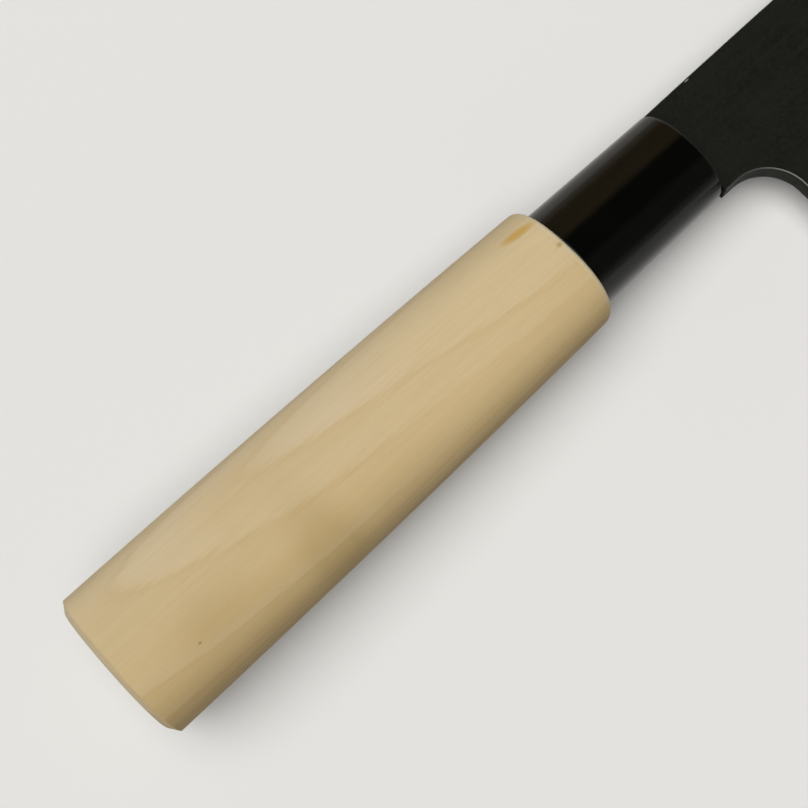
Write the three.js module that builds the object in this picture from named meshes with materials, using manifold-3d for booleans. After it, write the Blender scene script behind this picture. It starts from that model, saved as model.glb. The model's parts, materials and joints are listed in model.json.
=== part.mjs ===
// Bunka kitchen knife: an oval wood handle, a black ferrule and a three-layer blade with a clipped tip.
// Millimetres. In the knife's own frame X runs from the butt to the tip, Y to the spine and Z out of
// the right face. The finished knife is turned to lie on its left side, at rest on the plane Z = 0.
import * as THREE from 'three';
import { mergeVertices } from 'three/addons/utils/BufferGeometryUtils.js';
import Module from 'manifold-3d';

// Handle wood: height is from spine side to edge side, thickness from face to face
const WOOD_LENGTH = 92;
const BUTT_HEIGHT = 25.5;
const BUTT_THICKNESS = 21.6;
const FRONT_HEIGHT = 22.8;
const FRONT_THICKNESS = 18.4;
const WOOD_SQUARENESS = 2.33;
const BUTT_CHAMFER = 0.95;
const BUTT_INSET = 1.4;
const FRONT_ROUND = 1.3;
const TENON_LENGTH = 22;
const TENON_HEIGHT = 14;
const TENON_THICKNESS = 10;

// Ferrule over the tenon
const FERRULE_LENGTH = 28;
const FERRULE_BACK_HEIGHT = 19;
const FERRULE_BACK_THICKNESS = 15.5;
const FERRULE_FRONT_HEIGHT = 18.2;
const FERRULE_FRONT_THICKNESS = 13;
const FERRULE_SQUARENESS = 2.2;
const FERRULE_ROUND = 0.8;

// Blade outline
const BLADE_LENGTH = 165;
const BLADE_HEIGHT = 47;
const NECK_TOP = 8.85;
const NECK_BOTTOM = -9.4;
const NECK_LENGTH = 10.05;
const CHOIL_RADIUS = 7.5;
const HEEL_LEAN = 3 * Math.PI / 180;
const SPINE_CROWN = 0.3;
const SPINE_CROWN_RUN = 40;
const CLIP_RUN = 25;
const BELLY_START = 0.32;
const BELLY_RISE = 6.5;

// Blade section
const NECK_THICKNESS = 3.2;
const TIP_THICKNESS = 1.4;
const SPINE_EASE = 0.25;
const BEVEL_HEIGHT_HEEL = 19;
const BEVEL_HEIGHT_TIP = 15;
const HONE_HEIGHT = 0.7;
const HONE_THICKNESS = 0.34;
const EDGE_THICKNESS = 0.12;
const CORE_SHARE = 0.32;

// Tang and what holds it
const TANG_LENGTH = 84;
const TANG_FRONT_HEIGHT = 9.5;
const TANG_FRONT_THICKNESS = 3;
const TANG_END_HEIGHT = 5.5;
const TANG_END_THICKNESS = 2;
const TANG_ROOT = 2;
const BEDDING = 1.1;

// Clearances: between pieces that touch, and along the forge weld of the blade's layers
const FIT_GAP = 0.3;
const WELD_GAP = 0.05;

// Facets
const OVAL_SIDES = 48;
const WOOD_STEPS = 8;
const ROUND_STEPS = 3;
const BLADE_STEPS = 28;
const CHOIL_STEPS = 14;
const BISECTIONS = 40;
const SETTLE_TURNS = 6;

// Reach of a cutting body past the piece that it cuts
const OVERCUT = 20;

const HANDLE_LENGTH = WOOD_LENGTH + FERRULE_LENGTH;
const NECK_BACK = HANDLE_LENGTH + FIT_GAP;
const CHOIL_X = HANDLE_LENGTH + NECK_LENGTH - CHOIL_RADIUS;
const CHOIL_Y = NECK_BOTTOM - CHOIL_RADIUS;
const SPINE_Y = NECK_TOP + SPINE_CROWN;
const EDGE_Y = SPINE_Y - BLADE_HEIGHT;
const HEEL_ROOT_X = CHOIL_X + CHOIL_RADIUS * Math.cos(HEEL_LEAN);
const HEEL_ROOT_Y = CHOIL_Y - CHOIL_RADIUS * Math.sin(HEEL_LEAN);
const HEEL_X = HEEL_ROOT_X - (HEEL_ROOT_Y - EDGE_Y) * Math.tan(HEEL_LEAN);
const TIP_X = HEEL_X + BLADE_LENGTH;
const CLIP_X = TIP_X - CLIP_RUN;
const TENON_FRONT = WOOD_LENGTH + TENON_LENGTH;
const TANG_END = NECK_BACK - TANG_LENGTH;

const wasm = await Module();
wasm.setup();

// Straight run of a size between two places
function between(x, x0, size0, x1, size1) {
  return size0 + (size1 - size0) * (x - x0) / (x1 - x0);
}

// Oval ring across the knife: power 2 is an ellipse, a higher power has fuller corners
function ovalRing(x, height, thickness, power) {
  const ring = [];
  for (let i = 0; i < OVAL_SIDES; i++) {
    const angle = 2 * Math.PI * i / OVAL_SIDES;
    const c = Math.cos(angle);
    const s = Math.sin(angle);
    const y = height / 2 * Math.sign(c) * Math.abs(c) ** (2 / power);
    const z = thickness / 2 * Math.sign(s) * Math.abs(s) ** (2 / power);
    ring.push(new THREE.Vector3(x, y, z));
  }
  return ring;
}

// Rectangular ring across the knife
function boxRing(x, yLow, yHigh, zLow, zHigh) {
  return [
    new THREE.Vector3(x, yHigh, zLow),
    new THREE.Vector3(x, yHigh, zHigh),
    new THREE.Vector3(x, yLow, zHigh),
    new THREE.Vector3(x, yLow, zLow),
  ];
}

function slotRing(x, height, thickness) {
  return boxRing(x, -height / 2, height / 2, -thickness / 2, thickness / 2);
}

// Closed body through rings that have the same number of points, from low X to high X
function loft(rings) {
  const count = rings[0].length;
  const last = (rings.length - 1) * count;
  const triangles = [];
  for (let r = 0; r < last; r += count) {
    for (let i = 0; i < count; i++) {
      const a = r + i;
      const b = r + (i + 1) % count;
      triangles.push(a, b, b + count);
      triangles.push(a, b + count, a + count);
    }
  }
  for (let i = 1; i < count - 1; i++) {
    triangles.push(0, i + 1, i);
    triangles.push(last, last + i, last + i + 1);
  }
  const geometry = new THREE.BufferGeometry().setFromPoints(rings.flat());
  geometry.setIndex(triangles);
  return geometry;
}

// Flat outline in the XY plane, extruded through the blade
function throughCut(shape) {
  const geometry = new THREE.ExtrudeGeometry(shape, {
    depth: 2 * OVERCUT,
    bevelEnabled: false,
    curveSegments: CHOIL_STEPS,
  });
  geometry.translate(0, 0, -OVERCUT);
  return geometry;
}

function solid(geometry) {
  geometry.deleteAttribute('normal');
  geometry.deleteAttribute('uv');
  const merged = mergeVertices(geometry);
  return new wasm.Manifold(new wasm.Mesh({
    numProp: 3,
    vertProperties: merged.attributes.position.array,
    triVerts: new Uint32Array(merged.index.array),
  }));
}

function piece(name, body, colour, roughness, metalness) {
  const { vertProperties, triVerts } = body.getMesh();
  const geometry = new THREE.BufferGeometry();
  geometry.setAttribute('position', new THREE.BufferAttribute(vertProperties, 3));
  geometry.setIndex(new THREE.BufferAttribute(triVerts, 1));
  geometry.computeVertexNormals();
  const material = new THREE.MeshStandardMaterial({ color: colour, roughness, metalness });
  const mesh = new THREE.Mesh(geometry, material);
  mesh.name = name;
  return mesh;
}

// Tang: a flat bar that narrows towards its end, grown on all sides by a clearance
function tangSize(x) {
  return {
    height: between(x, TANG_END, TANG_END_HEIGHT, NECK_BACK, TANG_FRONT_HEIGHT),
    thickness: between(x, TANG_END, TANG_END_THICKNESS, NECK_BACK, TANG_FRONT_THICKNESS),
  };
}

function tangBar(xBack, xFront, clearance) {
  const rings = [xBack, xFront].map((x) => {
    const { height, thickness } = tangSize(x);
    return slotRing(x, height + 2 * clearance, thickness + 2 * clearance);
  });
  return solid(loft(rings));
}

// Handle wood: parallel at the butt, drawn in towards the front, with a tenon and a mortise
function woodRing(x, inset) {
  const drawn = (x / WOOD_LENGTH) ** 2;
  const height = BUTT_HEIGHT + (FRONT_HEIGHT - BUTT_HEIGHT) * drawn;
  const thickness = BUTT_THICKNESS + (FRONT_THICKNESS - BUTT_THICKNESS) * drawn;
  return ovalRing(x, height - 2 * inset, thickness - 2 * inset, WOOD_SQUARENESS);
}

function woodBody() {
  const rings = [woodRing(0, BUTT_INSET)];
  for (let i = 0; i <= WOOD_STEPS; i++) {
    rings.push(woodRing(between(i, 0, BUTT_CHAMFER, WOOD_STEPS, WOOD_LENGTH - FRONT_ROUND), 0));
  }
  for (let i = 1; i <= ROUND_STEPS; i++) {
    const turn = Math.PI / 2 * i / ROUND_STEPS;
    const inset = FRONT_ROUND * (1 - Math.cos(turn));
    rings.push(woodRing(WOOD_LENGTH - FRONT_ROUND * (1 - Math.sin(turn)), inset));
  }
  const tenon = loft([
    ovalRing(WOOD_LENGTH - FRONT_ROUND, TENON_HEIGHT, TENON_THICKNESS, FERRULE_SQUARENESS),
    ovalRing(TENON_FRONT, TENON_HEIGHT, TENON_THICKNESS, FERRULE_SQUARENESS),
  ]);
  const mortise = tangBar(TANG_END - 2 * BEDDING, TENON_FRONT + BEDDING, BEDDING);
  return solid(loft(rings)).add(solid(tenon)).subtract(mortise);
}

// Bedding set round the tang in the mortise, open at the front where the tang comes in
function beddingBody() {
  const fill = tangBar(TANG_END - 2 * BEDDING + FIT_GAP, TENON_FRONT, BEDDING - FIT_GAP);
  return fill.subtract(tangBar(TANG_END - FIT_GAP, TENON_FRONT + BEDDING, FIT_GAP));
}

// Ferrule: a tapered cap with a socket for the tenon and a slot for the tang
function ferruleRing(x, inset) {
  const height = between(x, WOOD_LENGTH, FERRULE_BACK_HEIGHT, HANDLE_LENGTH, FERRULE_FRONT_HEIGHT);
  const thickness = between(x, WOOD_LENGTH, FERRULE_BACK_THICKNESS, HANDLE_LENGTH, FERRULE_FRONT_THICKNESS);
  return ovalRing(x, height - 2 * inset, thickness - 2 * inset, FERRULE_SQUARENESS);
}

function ferruleBody() {
  const rings = [ferruleRing(WOOD_LENGTH + FIT_GAP, 0)];
  for (let i = 0; i <= ROUND_STEPS; i++) {
    const turn = Math.PI / 2 * i / ROUND_STEPS;
    const inset = FERRULE_ROUND * (1 - Math.cos(turn));
    rings.push(ferruleRing(HANDLE_LENGTH - FERRULE_ROUND * (1 - Math.sin(turn)), inset));
  }
  const socketHeight = TENON_HEIGHT + 2 * FIT_GAP;
  const socketThickness = TENON_THICKNESS + 2 * FIT_GAP;
  const socket = loft([
    ovalRing(WOOD_LENGTH - OVERCUT, socketHeight, socketThickness, FERRULE_SQUARENESS),
    ovalRing(TENON_FRONT + FIT_GAP, socketHeight, socketThickness, FERRULE_SQUARENESS),
  ]);
  const slot = tangBar(TENON_FRONT, HANDLE_LENGTH + BEDDING, BEDDING);
  return solid(loft(rings)).subtract(solid(socket)).subtract(slot);
}

// Seal: a sleeve of filler between the tang and the ferrule's slot
function sealBody() {
  const fill = tangBar(TENON_FRONT + 2 * FIT_GAP, HANDLE_LENGTH, BEDDING - FIT_GAP);
  return fill.subtract(tangBar(TENON_FRONT, HANDLE_LENGTH + BEDDING, FIT_GAP));
}

// Blade lines: spine, cutting edge, bevel ridge, top of the honed edge and clipped tip
function spineAt(x) {
  const run = (x - HANDLE_LENGTH - SPINE_CROWN_RUN) / SPINE_CROWN_RUN;
  return SPINE_Y - SPINE_CROWN * run ** 2;
}

function edgeAt(x) {
  const along = Math.max(0, between(x, HEEL_X, 0, TIP_X, 1) - BELLY_START);
  return EDGE_Y + BELLY_RISE * (along / (1 - BELLY_START)) ** 2;
}

function ridgeAt(x) {
  return edgeAt(x) + between(x, HEEL_X, BEVEL_HEIGHT_HEEL, TIP_X, BEVEL_HEIGHT_TIP);
}

function honeAt(x) {
  return edgeAt(x) + HONE_HEIGHT;
}

function clipAt(x) {
  return between(x, CLIP_X, spineAt(CLIP_X), TIP_X, edgeAt(TIP_X));
}

// Half the thickness of the blade between its flat faces
function flatHalf(x) {
  return between(x, HANDLE_LENGTH, NECK_THICKNESS, TIP_X, TIP_THICKNESS) / 2;
}

function bladeRing(x) {
  const half = flatHalf(x);
  const side = [
    [spineAt(x), half - SPINE_EASE],
    [spineAt(x) - SPINE_EASE, half],
    [ridgeAt(x), half],
    [honeAt(x), HONE_THICKNESS / 2],
    [edgeAt(x), EDGE_THICKNESS / 2],
  ];
  const right = side.map(([y, z]) => new THREE.Vector3(x, y, z));
  const left = side.map(([y, z]) => new THREE.Vector3(x, y, -z)).reverse();
  return [...right, ...left];
}

// Whole forged blade with its tang, before it is parted into layers
function bladeBody() {
  const rings = [];
  for (let i = 0; i <= BLADE_STEPS; i++) {
    rings.push(bladeRing(between(i, 0, NECK_BACK, BLADE_STEPS, TIP_X + HONE_HEIGHT)));
  }
  const choil = new THREE.Shape();
  choil.moveTo(HANDLE_LENGTH - OVERCUT, NECK_BOTTOM);
  choil.lineTo(CHOIL_X, NECK_BOTTOM);
  choil.absarc(CHOIL_X, CHOIL_Y, CHOIL_RADIUS, Math.PI / 2, -HEEL_LEAN, true);
  choil.lineTo(HEEL_X - OVERCUT * Math.tan(HEEL_LEAN), EDGE_Y - OVERCUT);
  choil.lineTo(HANDLE_LENGTH - OVERCUT, EDGE_Y - OVERCUT);
  const clip = new THREE.Shape();
  clip.moveTo(CLIP_X - OVERCUT, clipAt(CLIP_X - OVERCUT));
  clip.lineTo(TIP_X + OVERCUT, clipAt(TIP_X + OVERCUT));
  clip.lineTo(TIP_X + OVERCUT, clipAt(CLIP_X - OVERCUT));
  const tang = tangBar(TANG_END, NECK_BACK + TANG_ROOT, 0);
  return solid(loft(rings)).subtract(solid(throughCut(choil))).subtract(solid(throughCut(clip))).add(tang);
}

// Slab across the whole blade, between two heights that change along it
function layerSlab(zLow, zHigh) {
  const rings = [TANG_END - OVERCUT, TIP_X + OVERCUT].map((x) => {
    return boxRing(x, EDGE_Y - OVERCUT, SPINE_Y + OVERCUT, zLow(x), zHigh(x));
  });
  return solid(loft(rings));
}

const coreFace = (x) => CORE_SHARE * flatHalf(x);
const cladFace = (x) => coreFace(x) + WELD_GAP;

// Place along the clipped tip where a line of the left face ends
function clipMeets(lineAt) {
  let low = CLIP_X;
  let high = TIP_X;
  for (let i = 0; i < BISECTIONS; i++) {
    const middle = (low + high) / 2;
    if (lineAt(middle) < clipAt(middle)) low = middle;
    else high = middle;
  }
  return low;
}

// Turn that lays the knife on its handle and on the left bevel where the clip cuts it
function restTurn(handleMesh) {
  const ridgeX = clipMeets(ridgeAt);
  const honeX = clipMeets(honeAt);
  const ridgeEnd = new THREE.Vector3(ridgeX, ridgeAt(ridgeX), -flatHalf(ridgeX));
  const honeEnd = new THREE.Vector3(honeX, honeAt(honeX), -HONE_THICKNESS / 2);
  const across = ridgeEnd.clone().sub(honeEnd);
  const places = handleMesh.geometry.attributes.position;
  const place = new THREE.Vector3();
  const lowest = new THREE.Vector3(0, 0, -BUTT_THICKNESS / 2);
  const up = new THREE.Vector3();
  for (let turn = 0; turn < SETTLE_TURNS; turn++) {
    up.crossVectors(across, lowest.clone().sub(honeEnd)).normalize();
    let least = Infinity;
    for (let i = 0; i < places.count; i++) {
      place.fromBufferAttribute(places, i);
      if (place.dot(up) < least) {
        least = place.dot(up);
        lowest.copy(place);
      }
    }
  }
  return new THREE.Quaternion().setFromUnitVectors(up, new THREE.Vector3(0, 0, 1));
}

const blade = bladeBody();
const rightSlab = layerSlab(cladFace, () => OVERCUT);
const leftSlab = layerSlab(() => -OVERCUT, (x) => -cladFace(x));
const coreSlab = layerSlab((x) => -coreFace(x), coreFace);
const handle = piece('handle', woodBody(), 0xc4b087, 0.62, 0);

const knife = new THREE.Group();
knife.add(
  handle,
  piece('ferrule', ferruleBody(), 0x14110d, 0.16, 0),
  piece('tang_bedding', beddingBody(), 0x8a7b5c, 0.7, 0),
  piece('tang_seal', sealBody(), 0x1c1a18, 0.6, 0),
  piece('core_steel', blade.intersect(coreSlab), 0xb4b6b5, 0.3, 1),
  piece('cladding_right', blade.intersect(rightSlab), 0x35362f, 0.55, 0.8),
  piece('cladding_left', blade.intersect(leftSlab), 0x35362f, 0.55, 0.8),
);
knife.quaternion.copy(restTurn(handle));

// Origin under the middle of the lying knife
const box = new THREE.Box3().setFromObject(knife, true);
const middle = box.getCenter(new THREE.Vector3());
knife.position.set(-middle.x, -middle.y, -box.min.z);

const part = new THREE.Group();
part.add(knife);

export default part;
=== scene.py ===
# %% [markdown]
# # A kitchen knife on a pale table
# This lesson dresses a imported model of a kitchen knife: a pale wood handle, a glossy black ferrule and
# a blade forged from three layers. The imported model already holds every piece at its real size and
# place, so it is loaded first and never moved.

# %% Load the frame
import json
import math

import bmesh
import bpy
from mathutils import Color, Matrix, Vector


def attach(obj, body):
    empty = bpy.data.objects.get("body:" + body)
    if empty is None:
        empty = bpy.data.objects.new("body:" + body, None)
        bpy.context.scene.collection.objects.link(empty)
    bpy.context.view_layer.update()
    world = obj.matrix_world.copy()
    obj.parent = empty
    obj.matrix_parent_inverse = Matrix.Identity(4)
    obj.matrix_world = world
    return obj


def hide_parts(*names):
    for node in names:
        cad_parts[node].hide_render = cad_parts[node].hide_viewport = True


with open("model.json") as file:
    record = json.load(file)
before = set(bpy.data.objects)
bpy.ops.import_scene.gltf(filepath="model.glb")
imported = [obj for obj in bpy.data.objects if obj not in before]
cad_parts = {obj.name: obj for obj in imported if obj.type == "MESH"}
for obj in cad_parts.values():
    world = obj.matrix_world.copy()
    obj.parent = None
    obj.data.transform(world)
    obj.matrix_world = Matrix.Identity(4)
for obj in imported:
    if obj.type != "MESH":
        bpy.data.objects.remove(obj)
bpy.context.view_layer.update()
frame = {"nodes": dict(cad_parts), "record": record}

print("CAD nodes:", sorted(frame["nodes"]))

# %% [markdown]
# ## The knife's own frame
# The knife lies on its side, so its length is tilted by a few degrees. Every size is easier to write
# in the knife's own frame, in millimetres: X from the butt to the tip, Y to the spine, Z out of the
# right face. Two mounts of the record give that frame: the butt face looks back along the knife, and
# the flat of the blade looks out of the right face.

# %% The knife's own frame
MM = 0.001

mounts = {mount["name"]: mount for mount in frame["record"]["mounts"]}
along = -Vector(mounts["butt_face"]["axis"]).normalized()
to_spine = Vector(mounts["blade_flat_right"]["axis"]).cross(along).normalized()
out_right = along.cross(to_spine)

KNIFE_TURN = Matrix((along, to_spine, out_right)).transposed()
KNIFE = KNIFE_TURN.to_4x4() @ Matrix.Scale(MM, 4)
KNIFE.translation = Vector(mounts["butt_face"]["pos_m"])
print("tilt of the knife:", [round(math.degrees(turn), 2) for turn in KNIFE_TURN.to_euler()])

# %% [markdown]
# ## The camera
# The photograph looks down on the handle from the butt's end, and the knife runs from the lower left to
# the upper right, out of the picture. The camera is set in the knife's frame: where it stands, what it
# aims at, and how far it is rolled.

# %% Camera
CAMERA_PLACE = Vector((19.8928, -42.3859, 187.7546))
CAMERA_AIM = Vector((57.9695, 0.6173, 0.0))
CAMERA_ROLL = math.radians(-44.8525)
FIELD_OF_VIEW = math.radians(35.276)
NEAREST, FARTHEST = 0.01, 50


def new_object(name, data):
    """An object in the scene."""
    made = bpy.data.objects.new(name, data)
    bpy.context.scene.collection.objects.link(made)
    return made


forward = (CAMERA_AIM - CAMERA_PLACE).normalized()
level_right = forward.cross(Vector((0, 1, 0))).normalized()
level_up = level_right.cross(forward)
right = math.cos(CAMERA_ROLL) * level_right + math.sin(CAMERA_ROLL) * level_up
up = math.cos(CAMERA_ROLL) * level_up - math.sin(CAMERA_ROLL) * level_right
camera_turn = KNIFE_TURN @ Matrix((right, up, -forward)).transposed()

camera = new_object("camera", bpy.data.cameras.new("camera"))
camera.data.sensor_fit = "HORIZONTAL"
camera.data.angle = FIELD_OF_VIEW
camera.data.clip_start = NEAREST
camera.data.clip_end = FARTHEST
camera.matrix_world = Matrix.Translation(KNIFE @ CAMERA_PLACE) @ camera_turn.to_4x4()
bpy.context.scene.camera = camera
bpy.context.scene.view_settings.view_transform = "Standard"
print("camera at", [round(value, 3) for value in camera.matrix_world.translation])

# %% [markdown]
# ## Small helpers for node trees
# Shader trees and geometry trees are both made of nodes, sockets and links, so a few helpers serve both.
# A `Value` is one output of a node. It can be added and multiplied like a number, and each such sum makes
# a node, so that the sums further on read as sums.

# %% Node helpers
def feed(socket, value):
    """Links a node's output into a socket, or sets the socket's own value."""
    if isinstance(value, Value):
        value.tree.links.new(value.socket, socket)
    else:
        socket.default_value = value


def make_node(tree, kind, inputs=None, **settings):
    """A new node with its settings, and its inputs fed by name or number."""
    node = tree.nodes.new(kind)
    for name, setting in settings.items():
        setattr(node, name, setting)
    for key, value in (inputs or {}).items():
        feed(node.inputs[key], value)
    return node


def add(tree, kind, inputs=None, output=0, **settings):
    """One output of a new node."""
    return Value(make_node(tree, kind, inputs, **settings).outputs[output])


def calc(operation, *values):
    """One sum on one to three values, at least one of them a node's output."""
    tree = next(value.tree for value in values if isinstance(value, Value))
    return add(tree, "ShaderNodeMath", dict(enumerate(values)), operation=operation)


class Value:
    """A node's output that can be reckoned with like a number."""

    def __init__(self, socket):
        self.socket = socket
        self.tree = socket.id_data

    def __add__(self, other):
        return calc("ADD", self, other)

    def __sub__(self, other):
        return calc("SUBTRACT", self, other)

    def __rsub__(self, other):
        return calc("SUBTRACT", other, self)

    def __mul__(self, other):
        return calc("MULTIPLY", self, other)

    def __truediv__(self, other):
        return calc("DIVIDE", self, other)


def parts(vector):
    """The three parts of a vector."""
    return [Value(socket) for socket in make_node(vector.tree, "ShaderNodeSeparateXYZ", {0: vector}).outputs]


print("node helpers ready")

# %% [markdown]
# `fade` is the smooth change between two values that comes back all the time. Colours are written as 0 to
# 255, as a paint chart gives them, and turned into the linear values that Blender works with. `painted`
# lays one coat of colour over another, each with the share in which it covers.

# %% Fades and colours
def fade(value, low, high, start=0.0, end=1.0, curve="SMOOTHSTEP"):
    """start up to low, end from high on, and a smooth change between them."""
    inputs = {"Value": value, "From Min": low, "From Max": high, "To Min": start, "To Max": end}
    return add(value.tree, "ShaderNodeMapRange", inputs, "Result", interpolation_type=curve)


def tint(red, green, blue):
    """A chart colour, 0 to 255, as Blender's linear colour."""
    linear = Color((red / 255, green / 255, blue / 255)).from_srgb_to_scene_linear()
    return (*linear, 1.0)


def painted(colour, *coats, blend="MIX"):
    """A colour under several coats. Each coat is its share and its colour."""
    for share, coat in coats:
        inputs = {0: share, 6: colour, 7: coat}
        colour = add(share.tree, "ShaderNodeMix", inputs, 2, data_type="RGBA", blend_type=blend)
    return colour


print("mid grey is", [round(value, 3) for value in tint(128, 128, 128)[:3]])

# %% [markdown]
# ## Table
# The table is a plain pale sheet. What the camera and the shiny pieces see of it is pale, but it throws
# back less light on the underside of the knife, so that the round handle keeps its shading.

# %% Table
TABLE_SIZE = 24.0
TABLE_DROP = 0.00005
TABLE_SEEN = tint(231, 230, 227)
TABLE_BOUNCE = tint(72, 71, 70)


def set_inputs(surface, **values):
    """Feeds inputs of a shader by name."""
    for label, value in values.items():
        feed(surface[label.replace("_", " ")], value)


def new_material(name, **constants):
    """A material and its shader's inputs, some of them set."""
    material = bpy.data.materials.new(name)
    material.use_nodes = True
    surface = material.node_tree.nodes["Principled BSDF"].inputs
    set_inputs(surface, **constants)
    return material, surface


half = TABLE_SIZE / 2
corners = [(-half, -half), (half, -half), (half, half), (-half, half)]
sheet = bpy.data.meshes.new("table")
sheet.from_pydata([(x, y, -TABLE_DROP) for x, y in corners], [], [(0, 1, 2, 3)])
material, surface = new_material("pale_table", Roughness=0.9, Specular_IOR_Level=0.0)
rays = make_node(material.node_tree, "ShaderNodeLightPath").outputs
shown = Value(rays["Is Camera Ray"])
for kind in ("Is Glossy Ray", "Is Transmission Ray"):
    shown = calc("MAXIMUM", shown, Value(rays[kind]))
set_inputs(surface, Base_Color=painted(TABLE_BOUNCE, (shown, TABLE_SEEN)))
sheet.materials.append(material)
table = new_object("table", sheet)
print("table", TABLE_SIZE, "m wide")

# %% [markdown]
# ## Light
# One wide soft lamp stands behind the camera, outside the part of the room that the black ferrule mirrors.
# The room is pale at the horizon, so that it meets the table without a line, and darker overhead, which
# gives glossy pieces something quiet to reflect.

# %% Light
LAMP_PLACE = (-0.30, 0.02, 0.95)
LAMP_WIDTH = math.radians(70)
LAMP_STRENGTH = 2.9
ROOM_HEIGHTS = ((0.07, tint(227, 227, 223)), (0.14, tint(172, 170, 166)), (0.28, tint(146, 143, 138)),
                (0.42, tint(72, 70, 67)), (1.0, tint(56, 56, 55)))

world = bpy.data.worlds.new("room")
world.use_nodes = True
room = world.node_tree
tones = make_node(room, "ShaderNodeValToRGB")
feed(tones.inputs["Fac"], parts(add(room, "ShaderNodeTexCoord", output="Generated"))[2])
ramp = tones.color_ramp.elements
ramp[0].position, ramp[0].color = ROOM_HEIGHTS[0]
ramp[1].position, ramp[1].color = ROOM_HEIGHTS[-1]
for place, colour in ROOM_HEIGHTS[1:-1]:
    ramp.new(place).color = colour
feed(room.nodes["Background"].inputs["Color"], Value(tones.outputs["Color"]))
bpy.context.scene.world = world

lamp = new_object("soft_lamp", bpy.data.lights.new("soft_lamp", "SUN"))
lamp.data.energy = LAMP_STRENGTH
lamp.data.angle = LAMP_WIDTH
lamp.rotation_mode = "QUATERNION"
lamp.rotation_quaternion = Vector(LAMP_PLACE).to_track_quat("Z", "Y")
print("lamp strength", LAMP_STRENGTH, "and", len(ramp), "tones from the horizon up")

# %% [markdown]
# ## Where a pattern sits on the knife
# All the finishes read Object coordinates. A Mapping node of the Texture kind undoes the knife's tilt and
# turns metres into millimetres, so each pattern can be written in the knife's own frame. `new_finish`
# makes a material with that mapping in place.

# %% Finish helper
def new_finish(name, **constants):
    """A material, its shader's inputs and the place on the knife in millimetres."""
    material, surface = new_material(name, **constants)
    tree = material.node_tree
    mapping = {
        "Vector": add(tree, "ShaderNodeTexCoord", output="Object"),
        "Location": KNIFE.translation,
        "Rotation": KNIFE_TURN.to_euler(),
        "Scale": (MM, MM, MM),
    }
    return material, surface, add(tree, "ShaderNodeMapping", mapping, vector_type="TEXTURE")


def relief(surface, height, strength, depth):
    """Fine relief in the surface, depth in millimetres."""
    inputs = {"Height": height, "Strength": strength, "Distance": depth * MM}
    set_inputs(surface, Normal=add(height.tree, "ShaderNodeBump", inputs))


print("finish helper ready")

# %% [markdown]
# ## Patterns that several finishes share
# Three shader groups carry what comes back in more than one material. Streaks are long thin marks: fibres in
# the wood, painted reflection bands and rubbing marks in the ferrule, grinding lines in the steel. Mottle is
# a slow uneven change of tone. A mark is one soft spot or stroke at a given place, such as a resin streak,
# or a worn nick painted bright as a glint.
# Building each once as a group keeps the materials short, and each material gives it its own sizes.

# %% Shared pattern groups
STREAK_ROUGHNESS = 0.6
MOTTLE_DETAIL, MOTTLE_ROUGHNESS = 4.0, 0.55


def new_group(name, output, **inputs):
    """An empty shader group that reads a place and other inputs, and has one value for an output."""
    group = bpy.data.node_groups.new(name, "ShaderNodeTree")
    for label, value in {"Place": (0, 0, 0), **inputs}.items():
        kind = "NodeSocketVector" if isinstance(value, tuple) else "NodeSocketFloat"
        socket = group.interface.new_socket(label.replace("_", " "), in_out="INPUT", socket_type=kind)
        socket.default_value = value
    group.interface.new_socket(output, in_out="OUTPUT", socket_type="NodeSocketFloat")
    given = {socket.name: Value(socket) for socket in group.nodes.new("NodeGroupInput").outputs}
    return group, given, group.nodes.new("NodeGroupOutput").inputs[0]


def use(place, group, **values):
    """A group read at a place with its own values."""
    inputs = {label.replace("_", " "): value for label, value in values.items()}
    return add(place.tree, "ShaderNodeGroup", {"Place": place, **inputs}, node_tree=group)


def vector_calc(operation, first, second):
    return add(first.tree, "ShaderNodeVectorMath", {0: first, 1: second}, operation=operation)


def length(vector):
    return add(vector.tree, "ShaderNodeVectorMath", {0: vector}, "Value", operation="LENGTH")


def joined(x, y, z):
    return add(x.tree, "ShaderNodeCombineXYZ", {0: x, 1: y, 2: z})


def noise(place, size, detail, roughness):
    inputs = {"Vector": vector_calc("DIVIDE", place, size), "Scale": 1.0}
    inputs |= {"Detail": detail, "Roughness": roughness}
    return add(place.tree, "ShaderNodeTexNoise", inputs)


STREAKS, given, result = new_group("streaks", "Streak", Turn=0.0, Along=20.0, Across=0.3, Detail=3.0)
inputs = {"Vector": given["Place"], "Angle": given["Turn"]}
turned = add(STREAKS, "ShaderNodeVectorRotate", inputs, rotation_type="Z_AXIS")
size = joined(given["Along"], given["Across"], given["Across"])
feed(result, noise(turned, size, given["Detail"], STREAK_ROUGHNESS))

MOTTLE, given, result = new_group("mottle", "Tone", Size=10.0, Low=0.35, High=0.65)
size = joined(given["Size"], given["Size"], given["Size"])
cloud = noise(given["Place"], size, MOTTLE_DETAIL, MOTTLE_ROUGHNESS)
feed(result, fade(cloud, given["Low"], given["High"]))

inputs = {"Centre": (0, 0, 0), "Half_Size": (1, 1, 1), "Slant": 0.0, "Soft": 0.5}
MARK, given, result = new_group("mark", "Mask", **inputs)
x, y, z = parts(vector_calc("SUBTRACT", given["Place"], given["Centre"]))
offset = vector_calc("DIVIDE", joined(x, y - x * given["Slant"], z), given["Half Size"])
feed(result, fade(length(offset), 1.0 - given["Soft"], 1.0, 1.0, 0.0))
print("shared groups:", STREAKS.name, MOTTLE.name, MARK.name)

# %% [markdown]
# ## The oval bar, a shape that follows a rule
# Handle and ferrule are both oval bars: a rounded oval section, drawn in a little towards the front, with
# an eased back end and a rounded front rim. Geometry Nodes can state that rule once. A flat grid is the
# start: its columns become the turn round the bar, its rows run from the middle of the back face, over
# the eased edge, along the bar, over the front rim and into the middle of the front face. Each size is a
# named input, so the same tree also makes the plain bars that are later cut out or joined on.

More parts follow.
